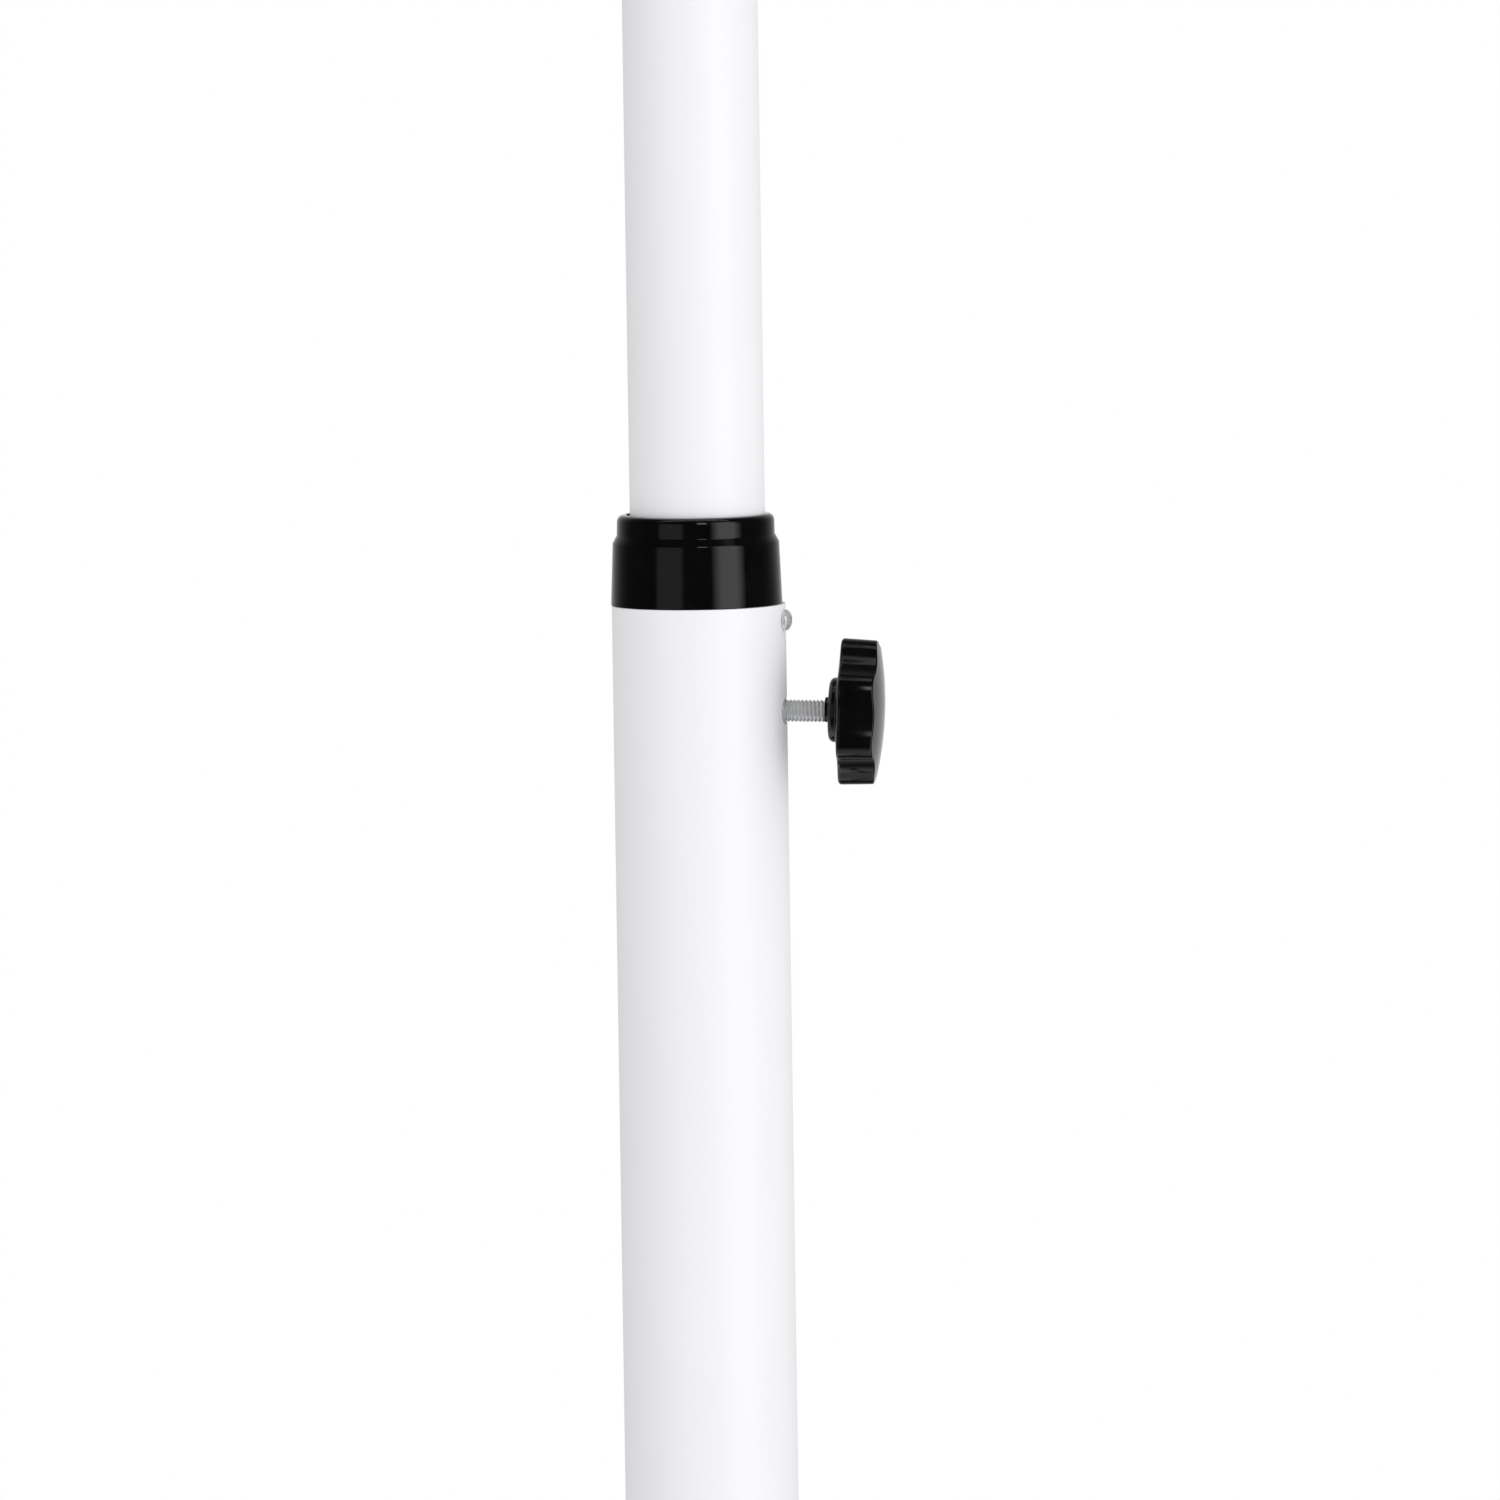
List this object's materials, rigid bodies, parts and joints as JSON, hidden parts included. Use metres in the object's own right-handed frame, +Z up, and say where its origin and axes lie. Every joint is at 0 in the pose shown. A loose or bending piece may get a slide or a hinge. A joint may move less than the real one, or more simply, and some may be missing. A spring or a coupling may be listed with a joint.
{
  "type": "music stand",
  "caption": "Standing sheet-music stand: telescopic steel column with star-knob clamp, tilting sheet-steel desk with ledge, and folding tripod base.",
  "frame": {"origin": "on the floor, at the middle of the tripod's footprint box; the column's axis stands at x = 0, y = -0.080 m", "axes": "+Z up; -Y towards the musician, who faces the desk; +X to the musician's right, the side of both star knobs"},
  "size_m": [0.5942, 0.5177, 1.3097],
  "materials": {
    "white_coat": "satin white powder coat",
    "black_gloss": "glossy moulded plastic",
    "black_coat": "satin black powder coat",
    "black_rubber": "moulded rubber",
    "black_nylon": "matt nylon",
    "zinc": "bright zinc plating"
  },
  "bodies": {
    "base": {"base_hub": "black_coat", "hub_screws": "zinc", "column_plug": "black_rubber", "outer_tube": "white_coat", "collar": "black_gloss", "collar_screw": "zinc", "clamp_nut": "zinc", "leg_pin_rear": "zinc", "leg_pin_left": "zinc", "leg_pin_right": "zinc"},
    "clamp_pad": {"clamp_pad": "black_nylon"},
    "clamp_screw": {"clamp_stud": "zinc", "clamp_knob": "black_gloss"},
    "mast_guide": {"guide_bush": "black_nylon"},
    "mast": {"inner_tube": "white_coat", "tube_plug": "black_nylon", "tilt_head": "black_coat", "head_screws": "zinc"},
    "desk": {"tilt_bolt": "zinc", "friction_washers": "black_nylon", "desk_bracket": "black_coat", "backing_plate": "black_coat", "desk_panel": "white_coat", "music_ledge": "white_coat", "ledge_rivets": "zinc", "desk_bolts": "zinc", "desk_nuts": "zinc"},
    "tilt_washer": {"tilt_washer": "zinc"},
    "tilt_knob": {"tilt_knob": "black_gloss"},
    "leg_rear": {"leg_hinge_rear": "black_coat", "leg_tube_rear": "white_coat", "leg_rivet_rear": "zinc", "leg_foot_rear": "black_rubber"},
    "leg_left": {"leg_hinge_left": "black_coat", "leg_tube_left": "white_coat", "leg_rivet_left": "zinc", "leg_foot_left": "black_rubber"},
    "leg_right": {"leg_hinge_right": "black_coat", "leg_tube_right": "white_coat", "leg_rivet_right": "zinc", "leg_foot_right": "black_rubber"}
  },
  "joints": [
    {"name": "mast_slide", "type": "slide", "parent": "base", "child": "mast_guide", "axis": [0, 0, 1], "range_m": [-0.27, 0.14]},
    {"name": "mast_swivel", "type": "hinge", "parent": "mast_guide", "child": "mast", "pos_m": [0, -0.08, 0.5], "axis": [0, 0, 1], "continuous": true},
    {"name": "clamp_travel", "type": "slide", "parent": "base", "child": "clamp_pad", "axis": [0.9998, 0, -0.0209], "range_m": [0, 0.00067]},
    {"name": "clamp_knob_turn", "type": "hinge", "parent": "clamp_pad", "child": "clamp_screw", "pos_m": [0.02028, -0.08, 0.6722], "axis": [0.9998, 0, -0.0209], "range_deg": [0, 240]},
    {"name": "desk_tilt", "type": "hinge", "parent": "mast", "child": "desk", "pos_m": [0, -0.08, 1.13], "axis": [-1, 0, 0], "range_deg": [-20, 65]},
    {"name": "tilt_washer_travel", "type": "slide", "parent": "desk", "child": "tilt_washer", "axis": [1, 0, 0], "range_m": [0, 0.0025]},
    {"name": "tilt_knob_turn", "type": "hinge", "parent": "tilt_washer", "child": "tilt_knob", "pos_m": [0.02, -0.08, 1.13], "axis": [1, 0, 0], "range_deg": [0, 720]},
    {"name": "leg_rear_fold", "type": "hinge", "parent": "base", "child": "leg_rear", "pos_m": [0, -0.034, 0.104], "axis": [-1, 0, 0], "range_deg": [0, 72]},
    {"name": "leg_left_fold", "type": "hinge", "parent": "base", "child": "leg_left", "pos_m": [-0.03984, -0.103, 0.104], "axis": [0.5, -0.866, 0], "range_deg": [0, 72]},
    {"name": "leg_right_fold", "type": "hinge", "parent": "base", "child": "leg_right", "pos_m": [0.03984, -0.103, 0.104], "axis": [0.5, 0.866, 0], "range_deg": [0, 72]}
  ],
  "couplings": [
    {"joint": "clamp_travel", "follows": "clamp_knob_turn", "m_per_rad": 0.00015915},
    {"joint": "tilt_washer_travel", "follows": "tilt_knob_turn", "m_per_rad": 0.00019894}
  ]
}
